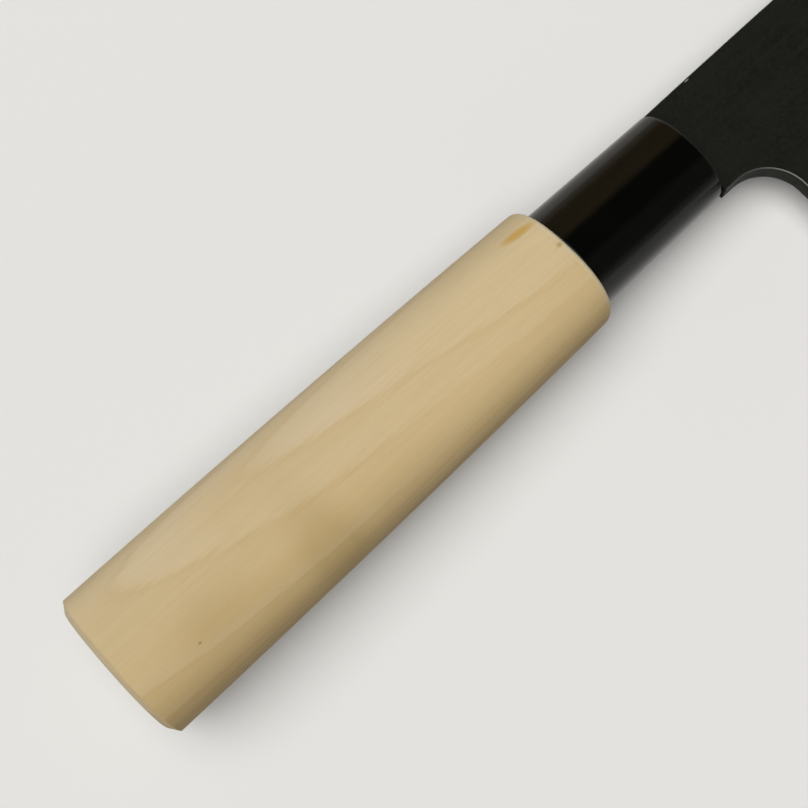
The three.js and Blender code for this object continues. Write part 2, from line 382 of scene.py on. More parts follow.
# %% Rows and named sizes of the oval bar
BAR_SIDES = 144
FACE_END = 4
EASE_END = FACE_END + 6
BODY_END = EASE_END + 48
ROUND_END = BODY_END + 8
BAR_ROWS = ROUND_END + 4
BAR_SIZES = {
    "Start": 0.0, "Length": 100.0, "Back Height": 20.0, "Back Thickness": 16.0, "Front Height": 18.0,
    "Front Thickness": 14.0, "Squareness": 2.0, "Draw In": 1.0, "Back Ease": 0.2, "Back Inset": 0.2,
    "Ease Fullness": 1.6, "Front Round": 0.2,
}

OVAL_BAR = bpy.data.node_groups.new("oval_bar", "GeometryNodeTree")
OVAL_BAR.is_modifier = True
for name, value in BAR_SIZES.items():
    socket = OVAL_BAR.interface.new_socket(name, in_out="INPUT", socket_type="NodeSocketFloat")
    socket.default_value = value
OVAL_BAR.interface.new_socket("Finish", in_out="INPUT", socket_type="NodeSocketMaterial")
OVAL_BAR.interface.new_socket("Bar", in_out="OUTPUT", socket_type="NodeSocketGeometry")
print("oval bar:", BAR_SIDES, "sides,", BAR_ROWS, "rows and", len(BAR_SIZES), "sizes")

# %% [markdown]
# The eased back edge is a quarter turn whose sine and cosine are raised to a power: power 1 is round, power
# 2 is a straight chamfer. The section is a superellipse: power 2 is an ellipse, a higher power has fuller
# corners. Points that meet at the seam are merged, so the swing of the turn is rounded to make them meet.

# %% Oval bar tree
QUARTER = math.pi / 2
SWING_GRAIN = 1e5
SEAM_WIDTH = 0.0004


def bar_run_and_inset(given, row):
    """How far along the bar a row lies, how far in from its full size, and how much of the face it spans."""
    ease = fade(row, FACE_END, EASE_END, curve="LINEAR") * QUARTER
    turn = fade(row, BODY_END, ROUND_END, curve="LINEAR") * QUARTER
    eased = []
    for wave, size in (("COSINE", "Back Ease"), ("SINE", "Back Inset")):
        bare = calc("MAXIMUM", calc(wave, ease), 0.0)
        eased.append((1.0 - calc("POWER", bare, given["Ease Fullness"])) * given[size])
    straight = given["Length"] - (given["Back Ease"] + given["Front Round"])
    run = fade(row, EASE_END, BODY_END, curve="LINEAR") * straight + eased[0]
    run = calc("SINE", turn) * given["Front Round"] + run
    inset = (1.0 - calc("COSINE", turn)) * given["Front Round"] + eased[1]
    fill = fade(row, 0, FACE_END, curve="LINEAR") * fade(row, ROUND_END, BAR_ROWS, 1.0, 0.0, "LINEAR")
    return run, inset, fill


def bar_side(given, wave, turn, size, drawn, inset, fill):
    """Height or thickness of the section at a turn round the bar."""
    back, front = given["Back " + size], given["Front " + size]
    half = (((front - back) * drawn + back) * 0.5 - inset) * fill
    swing = calc("ROUND", calc(wave, turn) * SWING_GRAIN) / SWING_GRAIN
    bulge = calc("POWER", calc("ABSOLUTE", swing), calc("DIVIDE", 2.0, given["Squareness"]))
    return bulge * calc("SIGN", swing) * half


given = {socket.name: Value(socket) for socket in OVAL_BAR.nodes.new("NodeGroupInput").outputs}
grid = {"Size X": 1.0, "Size Y": 1.0, "Vertices X": BAR_SIDES + 1, "Vertices Y": BAR_ROWS + 1}
bar = add(OVAL_BAR, "GeometryNodeMeshGrid", grid)
column, row, _ = parts(add(OVAL_BAR, "GeometryNodeInputPosition"))
turn = (column + 0.5) * math.tau
run, inset, fill = bar_run_and_inset(given, (row + 0.5) * BAR_ROWS)
drawn = calc("POWER", run / given["Length"], given["Draw In"])
section = [bar_side(given, wave, turn, size, drawn, inset, fill)
           for wave, size in (("COSINE", "Height"), ("SINE", "Thickness"))]
place = joined(run + given["Start"], *section)
for kind, inputs in (("SetPosition", {"Position": place}), ("MergeByDistance", {"Distance": SEAM_WIDTH}),
                     ("RealizeInstances", {}), ("SetMaterial", {"Material": given["Finish"]})):
    bar = add(OVAL_BAR, "GeometryNode" + kind, {"Geometry": bar, **inputs})
feed(OVAL_BAR.nodes.new("NodeGroupOutput").inputs[0], bar)
print("oval bar tree has", len(OVAL_BAR.nodes), "nodes")

# %% [markdown]
# A modifier's inputs are set by the identifiers of the tree's sockets. Once the bar is evaluated, it is
# baked to a plain mesh and the modifier goes. Two bars are then joined or cut with the Boolean modifier,
# which is baked in the same way. Faces within a smooth run share their shading, and an edge sharper than
# a given angle stays crisp.

# %% Making, joining and placing bars
def bake(piece):
    """The piece as its modifiers leave it, as a plain mesh."""
    graph = bpy.context.evaluated_depsgraph_get()
    mesh = bpy.data.meshes.new_from_object(piece.evaluated_get(graph))
    piece.modifiers.clear()
    piece.data = mesh


def turn_out(name, work):
    """Turns the faces of a closed mesh outwards and prints what it holds."""
    bmesh.ops.recalc_face_normals(work, faces=work.faces)
    open_edges = sum(1 for edge in work.edges if len(edge.link_faces) != 2)
    volume = round(work.calc_volume() / 1000, 2)
    print(name, len(work.faces), "faces,", volume, "cm3, open edges", open_edges)


def turn_piece_out(piece):
    work = bmesh.new()
    work.from_mesh(piece.data)
    turn_out(piece.name, work)
    work.to_mesh(piece.data)
    work.free()


def oval_bar(name, finish, ends, back, front, **shape):
    """A baked oval bar between two ends, with its height and thickness at the back and the front."""
    bar = new_object(name, bpy.data.meshes.new(name))
    modifier = bar.modifiers.new("oval_bar", "NODES")
    modifier.node_group = OVAL_BAR
    sizes = dict(zip(BAR_SIZES, (ends[0], ends[1] - ends[0], *back, *front)))
    sizes |= {label.replace("_", " "): value for label, value in shape.items()}
    for socket in OVAL_BAR.interface.items_tree:
        if socket.name in sizes:
            modifier[socket.identifier] = float(sizes[socket.name])
        elif socket.name == "Finish":
            modifier[socket.identifier] = finish
    bake(bar)
    turn_piece_out(bar)
    return bar


def join_or_cut(piece, operation, other):
    modifier = piece.modifiers.new(operation, "BOOLEAN")
    modifier.operation = operation
    modifier.solver = "EXACT"
    modifier.object = other
    bake(piece)
    bpy.data.objects.remove(other)


def settle(piece, crisp):
    """Sets the shading and puts a piece from the knife's frame into the room."""
    piece.data.name = piece.name
    turn_piece_out(piece)
    piece.data.shade_smooth()
    piece.data.set_sharp_from_angle(angle=math.radians(crisp))
    piece.data.transform(KNIFE)


print("bar helpers ready")

# %% [markdown]
# ## Pale handle wood
# The wood is a pale, fine-grained timber, sanded and left bare. Its growth rings are shells round a centre
# just below the handle, and they rise slowly towards the butt. Where the curved surface cuts them, they
# show as long pointed arches. Making the rings in three dimensions, instead of drawing arches on the
# surface, gives the right figure on every side and on the end grain. The rings bend and sway a little, they
# waver more near the heart, and fine fibres feather their edges.

# %% Growth rings
RING_RADIUS = 14.0
RING_TURN = math.radians(12.4)
RING_SLANT = 0.0377
RING_BEND = -0.00003
RING_SWAY = 0.079
SWAY_LENGTH = 10.0
SWAY_START = 5.13
RING_WAVER = 0.03
HEART_WAVER = 0.35
RING_FEATHER = 0.16
HANDLE_MIDDLE = 46.0


def ring_depth(place):
    """How far out from the middle ring each place lies, in millimetres."""
    centre = (0, -RING_RADIUS * math.sin(RING_TURN), -RING_RADIUS * math.cos(RING_TURN))
    across = vector_calc("MULTIPLY", vector_calc("SUBTRACT", place, centre), (0, 1, 1))
    run = parts(place)[0]
    from_middle = run - HANDLE_MIDDLE
    depth = run * RING_SLANT + (length(across) - RING_RADIUS) + from_middle * from_middle * RING_BEND
    depth += calc("SINE", run * (1 / SWAY_LENGTH) + SWAY_START) * RING_SWAY
    waver = fade(use(place, STREAKS, Along=30.0, Across=7.0, Detail=2.0), 0.0, 1.0, -1.0, 1.0, "LINEAR")
    depth += waver * fade(depth, 7.0, 10.5, HEART_WAVER, RING_WAVER)
    feather = use(place, STREAKS, Along=9.0, Across=0.5, Detail=3.0)
    return depth + fade(feather, 0.0, 1.0, -RING_FEATHER, RING_FEATHER, "LINEAR")


print("rings lie round a centre", RING_RADIUS, "mm from the handle's axis")

# %% [markdown]
# Each ring darkens slowly in its late wood, ends in a thin ochre line, and has a paler, pinker band behind
# it. The rings below the last two are taken as evenly spaced, which wrapping the depth gives: it counts
# from just before one ring to just before the next, again and again. The outermost ring is narrower, and
# more so towards the front, so it is laid over the others by itself.

# %% Lines and bands of all rings
RING_SPACING = 2.08
RING_NEXT = 11.46
RING_OUTER = 12.31
OUTER_TAPER = 0.0042
PALE_REACH = 0.8
LINE_WIDTH = 0.16
LATE_WIDTH = 3.4 * LINE_WIDTH
LATE_SHARE = 0.4


def ring_bands(past):
    """The ochre line up to a ring's end, and the pale band past it."""
    late = fade(past, -LATE_WIDTH, 0.0) * LATE_SHARE
    line = calc("MAXIMUM", fade(past, -LINE_WIDTH, 0.0), late) * fade(past, 0.0, 0.1, 1.0, 0.0)
    return line, fade(past, 0.0, 0.15) * fade(past, 0.15, 0.75, 1.0, 0.0)


def growth_rings(depth, run, clear):
    """Shares of the ochre line and of the pale band. All rings but the outermost are as clear as given."""
    outer = run * -OUTER_TAPER + (RING_OUTER + OUTER_TAPER * HANDLE_MIDDLE)
    past = calc("MINIMUM", depth - RING_NEXT, PALE_REACH - 0.01)
    past = calc("WRAP", past, PALE_REACH, PALE_REACH - RING_SPACING)
    bands = zip(ring_bands(past), ring_bands(depth - outer))
    return [calc("MAXIMUM", band * clear, outer_band) for band, outer_band in bands]


print("rings every", RING_SPACING, "mm, the last two", round(RING_OUTER - RING_NEXT, 2), "mm apart")

# %% [markdown]
# Over the rings lies a slow change of tone: paler and pinker on the spine side, which is painted light
# falling from that side, yellower on the edge side, a little deeper towards both ends of the crest, and with
# three deeper clouds, partly the wood's own uneven tone and partly painted shade of the slightly uneven
# sanded surface on the edge side. The pale bands are clearest near the points of the arches.

# %% Tones of the handle wood
# painted light: the spine side is painted paler and pinker, as if lit from that side
WOOD_CREST_LIT = tint(216, 196, 158)
WOOD_FLANK = tint(215, 189, 140)
WOOD_DEEP = tint(231, 228, 218)
# deeper clouds: partly the wood's own uneven tone, partly painted shade of the uneven surface on the edge
# side
WOOD_TONE_AND_SHADE_CLOUDS = (((15.5, -5.2, 10.2), (11.0, 6.5, 6.0), 0.4), ((34.5, -8.0, 8.0), (7.5, 13.0, 13.0), 0.65),
               ((35.5, -11.0, 5.0), (8.0, 5.0, 6.0), 0.35))
ARCH_POINTS = (((18.0, 7.5, 9.0), (15.0, 8.0, 12.0), 0.35), ((47.0, 6.0, 9.0), (19.0, 9.0, 12.0), 0.35))
PALE_SHARE = 0.15


def with_spots(place, share, spots):
    """A share that rises in soft spots. Each spot is its centre, half its size and its own share."""
    for centre, size, more in spots:
        share = use(place, MARK, Centre=centre, Half_Size=size, Soft=1.0) * more + share
    return share


def wood_tone(place, run, height):
    """Slow change of tone over the handle, with painted light on the spine side and painted shade in the
    clouds.
    """
    butt_deep = fade(run, 10.0, 60.0, 0.5, 0.05) * fade(height, 4.0, 9.0, 1.0, 0.2)
    crest_deep = fade(run, 45.0, 85.0, 0.0, 0.45) * fade(height, 4.0, 9.0)
    deep = use(place, MOTTLE, Size=30.0) * 0.2 + (butt_deep + crest_deep)
    # painted light: paler towards the spine side
    colour = painted(WOOD_FLANK, (fade(height, -10.0, 9.0, curve="LINEAR"), WOOD_CREST_LIT))
    # the clouds deepen the tone, partly as painted shade
    return painted(colour, (with_spots(place, deep, WOOD_TONE_AND_SHADE_CLOUDS), WOOD_DEEP), blend="MULTIPLY")


print("wood clouds at", [centre for centre, size, share in WOOD_TONE_AND_SHADE_CLOUDS])

# %% [markdown]
# Then come fine fibres along the handle, short darker pores, stripes on the edge side, and the marks of
# this one piece of wood: an ochre resin streak and a spot by the front rim, and a tiny knot near the butt.
# The end grain at the butt is greyer than the sides and shows the rings more clearly. Its chamfer is
# painted a little paler, as painted light catching it, and the front rim carries a painted pale highlight.
# The fibres also give a very shallow relief and a change of gloss.

# %% Handle wood finish
WOOD_LINE = tint(188, 156, 107)
WOOD_PALE = tint(215, 197, 166)
WOOD_DARK = tint(120, 92, 50)
WOOD_END = tint(176, 163, 134)
# painted light: the butt chamfer is painted paler where light catches it
WOOD_CHAMFER_LIGHT = tint(190, 177, 148)
# painted highlight: a pale line along the wood's front rim
WOOD_RIM_HIGHLIGHT = tint(228, 213, 178)
RESIN = {"Centre": (87.8, 6.55, 8.2), "Half_Size": (4.3, 1.05, 3.0), "Slant": -0.09, "Soft": 0.7}
SPOT = {"Centre": (90.75, 0.6, 9.2), "Half_Size": (0.8, 0.65, 2.0), "Soft": 0.8}
KNOT = {"Centre": (11.64, -7.17, 9.45), "Half_Size": (0.4, 0.27, 1.0), "Soft": 0.8}
WOOD_MARKS = ((RESIN, 0.85, tint(197, 156, 78)), (SPOT, 0.75, tint(172, 148, 88)), (KNOT, 0.6, WOOD_DARK))

SANDED_WOOD, surface, place = new_finish("sanded_wood", Specular_IOR_Level=0.15)
run, height, _ = parts(place)
depth = ring_depth(place)
end = fade(run, 0.3, 1.15, 1.0, 0.0)
faint = fade(depth, 10.6, 11.3, 1.2, 1.0) * fade(run, 40.0, 70.0, 1.0, 0.5)
line, pale = growth_rings(depth, run, calc("MAXIMUM", faint, end))
fibre = use(place, STREAKS, Along=26.0, Across=0.16, Detail=4.0)
stripe = use(place, STREAKS, Along=90.0, Across=0.7, Detail=2.0)
pore = fade(use(place, STREAKS, Along=1.6, Across=0.07, Detail=1.0), 0.66, 0.78)
colour = painted(
    wood_tone(place, run, height),
    (end * 0.7, WOOD_END),
    # painted light on the chamfer
    (fade(run, 0.02, 0.2, 0.0, 0.65) * end, WOOD_CHAMFER_LIGHT),
    (pale * with_spots(place, PALE_SHARE, ARCH_POINTS), WOOD_PALE),
    (line * fade(end, 0.0, 1.0, 0.2, 0.45), WOOD_LINE),
    (fade(stripe, 0.42, 0.62) * fade(depth, 5.0, 9.5, 0.45, 0.08), WOOD_LINE))
colour = painted(colour, (fade(fibre, 0.3, 0.7, 0.0, 0.18), WOOD_DEEP), blend="MULTIPLY")
# the last coat is the painted highlight on the front rim
colour = painted(colour, (pore * 0.2, WOOD_DARK), (fade(run, 90.6, 91.4, 0.0, 0.8), WOOD_RIM_HIGHLIGHT))
for mark, share, tone in WOOD_MARKS:
    colour = painted(colour, (use(place, MARK, **mark) * share, tone))
set_inputs(surface, Base_Color=colour, Roughness=fade(fibre, 0.3, 0.7, 0.52, 0.66))
relief(surface, fibre - pore, 0.25, 0.03)
print("wood finish has", len(SANDED_WOOD.node_tree.nodes), "nodes")

# %% [markdown]
# ## The wood handle
# The handle is one oval bar, nearly parallel at the butt and drawn in towards the front, with a straight
# chamfer round the butt. In front it has a narrower tenon that fits into the ferrule, and a tapered mortise
# runs down its middle for the tang. Both are oval bars too: the tenon is joined on, and the mortise, a bar
# with nearly square corners, is cut out.

# %% Wood handle
WOOD_LENGTH = 92.0
TENON_FRONT = 114.0
TENON_ROOT = 10.0
TENON_SIZE = (14.0, 10.0)
TANG_END = 36.3
TANG_FRONT = 120.3
BEDDING = 1.1
FERRULE_SQUARENESS = 2.2
SHARP_RIM = 0.05


def run_between(x, x0, size0, x1, size1):
    """A size that changes evenly from one place to another."""
    return size0 + (size1 - size0) * (x - x0) / (x1 - x0)


def tang_height(x):
    return run_between(x, TANG_END, 5.5, TANG_FRONT, 9.5)


def tang_thickness(x):
    return run_between(x, TANG_END, 2.0, TANG_FRONT, 3.0)


def tang_slot(name, finish, *ends):
    """A bar with room for the tang and what beds it."""
    back, front = [(tang_height(x) + 2 * BEDDING, tang_thickness(x) + 2 * BEDDING) for x in ends]
    return oval_bar(name, finish, ends, back, front, Squareness=12,
                    Back_Ease=SHARP_RIM, Back_Inset=SHARP_RIM, Front_Round=SHARP_RIM)


handle = oval_bar("wood_handle", SANDED_WOOD, (0, WOOD_LENGTH), (25.5, 21.6), (22.8, 18.4), Squareness=2.33,
                  Draw_In=2, Back_Ease=0.95, Back_Inset=1.4, Ease_Fullness=2, Front_Round=1.3)
tenon = oval_bar("tenon", SANDED_WOOD, (WOOD_LENGTH - TENON_ROOT, TENON_FRONT), TENON_SIZE, TENON_SIZE,
                 Squareness=FERRULE_SQUARENESS)
join_or_cut(handle, "UNION", tenon)
mortise = tang_slot("mortise", SANDED_WOOD, TANG_END - 2 * BEDDING, TENON_FRONT + BEDDING)
join_or_cut(handle, "DIFFERENCE", mortise)
settle(handle, 30)
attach(handle, "root")
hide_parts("handle")

# %% [markdown]
# ## Black ferrule
# The collar in front of the wood is polished black, like horn or a hard resin. A black surface is mostly
# its reflections, so the colour is close to black and the gloss carries the look. A brown band along the
# spine side and a faint grey one along the edge side are painted reflections of the room. Very fine
# rubbing marks lift the roughness a little here and there, and the two end rims are only sanded, so they
# catch no hard line of light.

# %% Ferrule finish
HORN_BLACK = tint(3, 3, 2)
# painted reflections: a brown band on the spine side and a grey one on the edge side
HORN_BROWN_REFLECTION = tint(28, 23, 13)
HORN_GREY_REFLECTION = tint(12, 12, 10)
HANDLE_LENGTH = 120.0

POLISHED_BLACK, surface, place = new_finish("polished_black", Specular_IOR_Level=0.3)
run, height, _ = parts(place)
# streaks that break up the painted reflection bands
band = use(place, STREAKS, Along=45.0, Across=2.2, Detail=3.0)
rub = use(place, STREAKS, Turn=0.5, Along=3.0, Across=0.05, Detail=2.0)
cloud = use(place, MOTTLE, Size=6.0)
# masks of the painted brown and grey reflection bands
brown_reflection = fade(height, 0.5, 2.0) * fade(band, 0.3, 0.7, 0.8, 1.0)
grey = fade(height, -4.4, -2.8, 1.0, 0.0) * fade(band, 0.3, 0.7, 0.5, 1.0)
gloss = fade(rub, 0.58, 0.72) * 0.06 + fade(cloud, 0.0, 1.0, 0.09, 0.14)
back_rim = fade(run, WOOD_LENGTH + 0.1, WOOD_LENGTH + 0.5, 0.5, 0.0)
front_rim = fade(run, HANDLE_LENGTH - 0.9, HANDLE_LENGTH - 0.4, 0.0, 0.5)
set_inputs(surface, Base_Color=painted(HORN_BLACK, (brown_reflection, HORN_BROWN_REFLECTION), (grey, HORN_GREY_REFLECTION)),
           Roughness=gloss + (back_rim + front_rim))
relief(surface, cloud, 0.05, 0.02)
print("ferrule finish has", len(POLISHED_BLACK.node_tree.nodes), "nodes")

# %% [markdown]
# The ferrule is the same oval bar, shorter and straight-sided. Its socket takes the tenon, and a slot in
# its front face lets the tang through. It closes right up to the wood, so no gap shows at the joint.

# %% Ferrule
JOINT_GAP = 0.02
SOCKET_ENDS = (WOOD_LENGTH - 5.0, TENON_FRONT + 0.3)
SOCKET_SIZE = (14.6, 10.6)

ferrule = oval_bar("black_ferrule", POLISHED_BLACK, (WOOD_LENGTH + JOINT_GAP, HANDLE_LENGTH),
                   (19, 15.5), (18.2, 13), Squareness=FERRULE_SQUARENESS,
                   Back_Ease=0.03, Back_Inset=0.03, Front_Round=0.8)
socket = oval_bar("socket", POLISHED_BLACK, SOCKET_ENDS, SOCKET_SIZE, SOCKET_SIZE,
                  Squareness=FERRULE_SQUARENESS)
join_or_cut(ferrule, "DIFFERENCE", socket)
join_or_cut(ferrule, "DIFFERENCE", tang_slot("slot", POLISHED_BLACK, TENON_FRONT, HANDLE_LENGTH + BEDDING))
settle(ferrule, 40)
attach(ferrule, "root")
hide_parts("ferrule")

# %% [markdown]
# ## Lines of the blade
# A smith draws a blade as a few lines: the spine, the cutting edge, the ridge where the ground bevel
# begins, the clipped tip, and the round choil between neck and heel. Each is a short formula here, so the
# three layers of the blade can share them exactly.

# %% Blade lines
NECK_BACK = 120.05
NECK_LENGTH = 10.05
NECK_TOP = 8.85
NECK_BOTTOM = -9.4
CHOIL_RADIUS = 7.5
CHOIL_X = HANDLE_LENGTH + NECK_LENGTH - CHOIL_RADIUS
CHOIL_Y = NECK_BOTTOM - CHOIL_RADIUS
HEEL_LEAN = math.radians(3)
SPINE_CROWN = 0.3
SPINE_CROWN_RUN = 40.0
SPINE_Y = NECK_TOP + SPINE_CROWN
BLADE_HEIGHT = 47.0
EDGE_Y = SPINE_Y - BLADE_HEIGHT
EDGE_LENGTH = 165.0
HEEL_ROOT_X = CHOIL_X + CHOIL_RADIUS * math.cos(HEEL_LEAN)
HEEL_ROOT_Y = CHOIL_Y - CHOIL_RADIUS * math.sin(HEEL_LEAN)
HEEL_X = HEEL_ROOT_X - (HEEL_ROOT_Y - EDGE_Y) * math.tan(HEEL_LEAN)
TIP_X = HEEL_X + EDGE_LENGTH
CLIP_LENGTH = 25.0
CLIP_X = TIP_X - CLIP_LENGTH
BELLY_START = 0.32
BELLY_RISE = 6.5
HONE_HEIGHT = 0.7


def spine_at(x):
    return SPINE_Y - SPINE_CROWN * ((x - HANDLE_LENGTH - SPINE_CROWN_RUN) / SPINE_CROWN_RUN) ** 2


def edge_at(x):
    share = max(0.0, run_between(x, HEEL_X, 0, TIP_X, 1) - BELLY_START) / (1 - BELLY_START)
    return EDGE_Y + BELLY_RISE * share ** 2


def ridge_at(x):
    return edge_at(x) + run_between(x, HEEL_X, 19.0, TIP_X, 15.0)


def hone_at(x):
    return edge_at(x) + HONE_HEIGHT


def clip_at(x):
    return run_between(x, CLIP_X, spine_at(CLIP_X), TIP_X, edge_at(TIP_X))


def heel_x_at(y):
    return HEEL_ROOT_X - (HEEL_ROOT_Y - y) * math.tan(HEEL_LEAN)


print("edge", EDGE_LENGTH, "mm long, blade", BLADE_HEIGHT, "mm high at the heel")

# %% [markdown]
# In section the blade is flat from the spine to the ridge and then ground straight down to the honed edge.
# The hard core is the middle third of the thickness. Where the bevel cuts through the weld, the core comes
# out in a line that wavers, because the layers moved under the hammer. The two faces waver differently.

# %% Blade section
HONE_HALF = 0.17
EDGE_HALF = 0.03
CORE_SHARE = 0.32
WAVES = {1: ((0.62, 11.0, 0.4), (0.34, 4.7, 2.1), (0.14, 1.9, 1.0)),
         -1: ((0.58, 12.5, 2.6), (0.36, 5.3, 0.3), (0.13, 2.1, 4.0))}


def flat_half(x):
    return run_between(x, HANDLE_LENGTH, 3.2, TIP_X, 1.4) / 2


def core_half(x):
    return CORE_SHARE * flat_half(x)


def weld_at(x, side):
    """Height of the wavering weld line on one face."""
    share = (core_half(x) - HONE_HALF) / (flat_half(x) - HONE_HALF)
    plain = hone_at(x) + share * (ridge_at(x) - hone_at(x))
    return plain + sum(size * math.sin(x / length + start) for size, length, start in WAVES[side])


def bevel_half(x, y):
    """Half the thickness of the ground bevel at a height."""
    return run_between(y, hone_at(x), HONE_HALF, ridge_at(x), flat_half(x))


def meets_clip(line):
    """Place along the clipped tip where a line of the blade ends."""
    low, high = CLIP_X, TIP_X
    for _ in range(40):
        middle = (low + high) / 2
        low, high = (middle, high) if line(middle) < clip_at(middle) else (low, middle)
    return low


def meets_heel(line):
    """Place along the heel where a line of the blade starts."""
    x = HEEL_X
    for _ in range(20):
        x = heel_x_at(line(x))
    return x


print("weld line at the heel", round(weld_at(HEEL_X, 1) - edge_at(HEEL_X), 2), "mm above the edge")

# %% [markdown]
# ## Steel finishes
# The flats keep the dark skin of the forge: matte, nearly black, slightly uneven, with the finest relief.
# It has slow patches, a fine grit, faint marks drawn out along the blade, and specks where a grain of the
# scale has come off. The rim round the blade is eased and rubbed by use: bright along the choil, mostly
# dark along the spine. A few nicks in the skin are painted flat bright grey, a painted glint.

# %% Forge skin and worn rim
SKIN_DARK = tint(11, 12, 6)
SKIN_WARM = tint(17, 17, 10)
SKIN_GRIT = tint(28, 29, 21)
SKIN_LOST = tint(62, 62, 58)
RIM_BRIGHT = tint(96, 95, 91)
# nicks painted flat bright grey: worn chips with a painted glint
NICK_GLINT = tint(150, 149, 144)
GLINTING_NICKS = (((130.1, 8.6, 1.6), (0.65, 0.13, 0.8)), ((121.95, 4.95, 1.6), (0.16, 0.2, 0.5)))


def skin_colour(place):
    """Colour of the skin, and the patches and the grit in it."""
    patch = use(place, MOTTLE, Size=9.0, Low=0.3, High=0.7)
    grit = use(place, MOTTLE, Size=0.8, Low=0.3, High=0.7)
    drawn = use(place, STREAKS, Along=18.0, Across=0.8, Detail=3.0)
    lost = use(place, MOTTLE, Size=0.45, Low=0.68, High=0.74)
    colour = painted(SKIN_DARK, (patch, SKIN_WARM), (grit * 0.4, SKIN_GRIT),
                     (fade(drawn, 0.45, 0.75, 0.0, 0.4), SKIN_GRIT), (lost * 0.5, SKIN_LOST))
    # worn nicks painted as bright glints
    for centre, size in GLINTING_NICKS:
        colour = painted(colour, (use(place, MARK, Centre=centre, Half_Size=size, Soft=0.7), NICK_GLINT))
    return colour, patch, grit


FORGE_SKIN, surface, place = new_finish("forge_skin", Specular_IOR_Level=0.15)
colour, patch, grit = skin_colour(place)
hammered = use(place, MOTTLE, Size=7.0, Low=0.2, High=0.8)
set_inputs(surface, Base_Color=colour, Roughness=grit * 0.12 + fade(patch, 0.0, 1.0, 0.45, 0.56))
relief(surface, hammered * 3.0 + grit, 0.3, 0.04)

WORN_RIM, surface, place = new_finish("worn_rim")
low_down = fade(parts(place)[1], -6.0, 2.0, 1.0, 0.0)
rub = use(place, MOTTLE, Size=2.4, Low=0.52, High=0.66)
bright = calc("MAXIMUM", low_down, rub * 0.35)
set_inputs(surface, Base_Color=painted(skin_colour(place)[0], (bright, RIM_BRIGHT)), Metallic=bright,
           Roughness=fade(bright, 0.0, 1.0, 0.5, 0.38))
print("skin and rim finishes ready, with", len(GLINTING_NICKS), "nicks")

# %% [markdown]
# The bevel below the ridge is bare steel with slanting lines from the stone. Bare steel is a metal, so its
# colour is the colour of its reflection. The soft cladding takes a cloudy finish, darker just above the
# weld, the hard core a brighter polish, and the narrow honed facet is brighter still. All three share one
# recipe. The height above the weld is stored on the mesh as an attribute, so the cloud follows the wavering
# line. A second attribute, the distance below the ridge, leaves ragged flecks of skin along it.

# %% Ground steel
CLOUD_HEIGHT = 1.6


def stored(place, name):
    """A value stored on the mesh."""
    return add(place.tree, "ShaderNodeAttribute", output="Fac", attribute_name=name)


def ground_steel(name, bright, cloudy, roughness, line_turn, line_size):
    material, surface, place = new_finish(name)
    lines = use(place, STREAKS, Turn=line_turn, Along=9.0, Across=line_size, Detail=3.0)
    fine = use(place, STREAKS, Turn=line_turn + 0.12, Along=5.0, Across=line_size * 0.4, Detail=2.0)
    ragged = use(place, STREAKS, Turn=line_turn, Along=1.6, Across=0.35, Detail=3.0)
    cloud = use(place, MOTTLE, Size=5.0)
    haze = fade(stored(place, "above_weld"), 0.0, CLOUD_HEIGHT, 0.55, 0.0) + cloud * 0.35
    clean = fade(use(place, MOTTLE, Size=11.0), 0.0, 1.0, -2.5, -0.5)
    fleck = fade(stored(place, "below_ridge") * clean + ragged, 0.42, 0.5)
    scored = fade(lines, 0.35, 0.7, 0.0, 0.3)
    colour = painted(bright, (haze, cloudy), (scored, cloudy), (fleck, SKIN_DARK))
    gloss = cloud * 0.05 + (fade(fine, 0.3, 0.7) * 0.1 + roughness)
    set_inputs(surface, Base_Color=colour, Metallic=1.0 - fleck, Roughness=gloss)
    relief(surface, lines + fine, 0.1, 0.01)
    return material


CLAD_BEVEL = ground_steel("ground_cladding", tint(172, 171, 167), tint(128, 127, 124), 0.45, 1.25, 0.14)
CORE_BEVEL = ground_steel("ground_core", tint(178, 178, 176), tint(152, 152, 151), 0.33, 1.15, 0.10)
HONED = ground_steel("honed_facet", tint(184, 184, 183), tint(168, 168, 167), 0.24, 1.45, 0.06)
print("ground steels:", CLAD_BEVEL.name, CORE_BEVEL.name, HONED.name)

# %% [markdown]
# ## Rim of the blade
# The outline of a layer is walked in two chains: one from the neck along the spine and down the clipped tip
# to the ridge, one from the neck round the choil and down the heel to the ridge. At each point the rim is
# a small quarter round between the face and the wall. Building it point by point, instead of with a Bevel
# modifier, keeps it even where the wall runs out to nothing at the weld.

# %% Outline chains
SPINE_STEPS, CLIP_STEPS, NECK_STEPS, CHOIL_STEPS, HEEL_STEPS = 48, 10, 2, 28, 4


def steps(low, high, count):
    return [run_between(i, 0, low, count, high) for i in range(count + 1)]


def inward(points, turn):
    """Direction into the blade at each point of a chain, longer at a corner to keep the rim's width."""
    normals = []
    for i in range(len(points)):
        sides = []
        for a, b in ((i - 1, i), (i, i + 1)):
            if a >= 0 and b < len(points):
                run = Vector(points[b]) - Vector(points[a])
                sides.append(Vector((run.y, -run.x)).normalized() * turn)
        middle = sum(sides, Vector((0, 0))).normalized()
        normals.append(middle / middle.dot(sides[0]))
    normals[0] = Vector((0, math.copysign(1, normals[0].y)))
    return normals


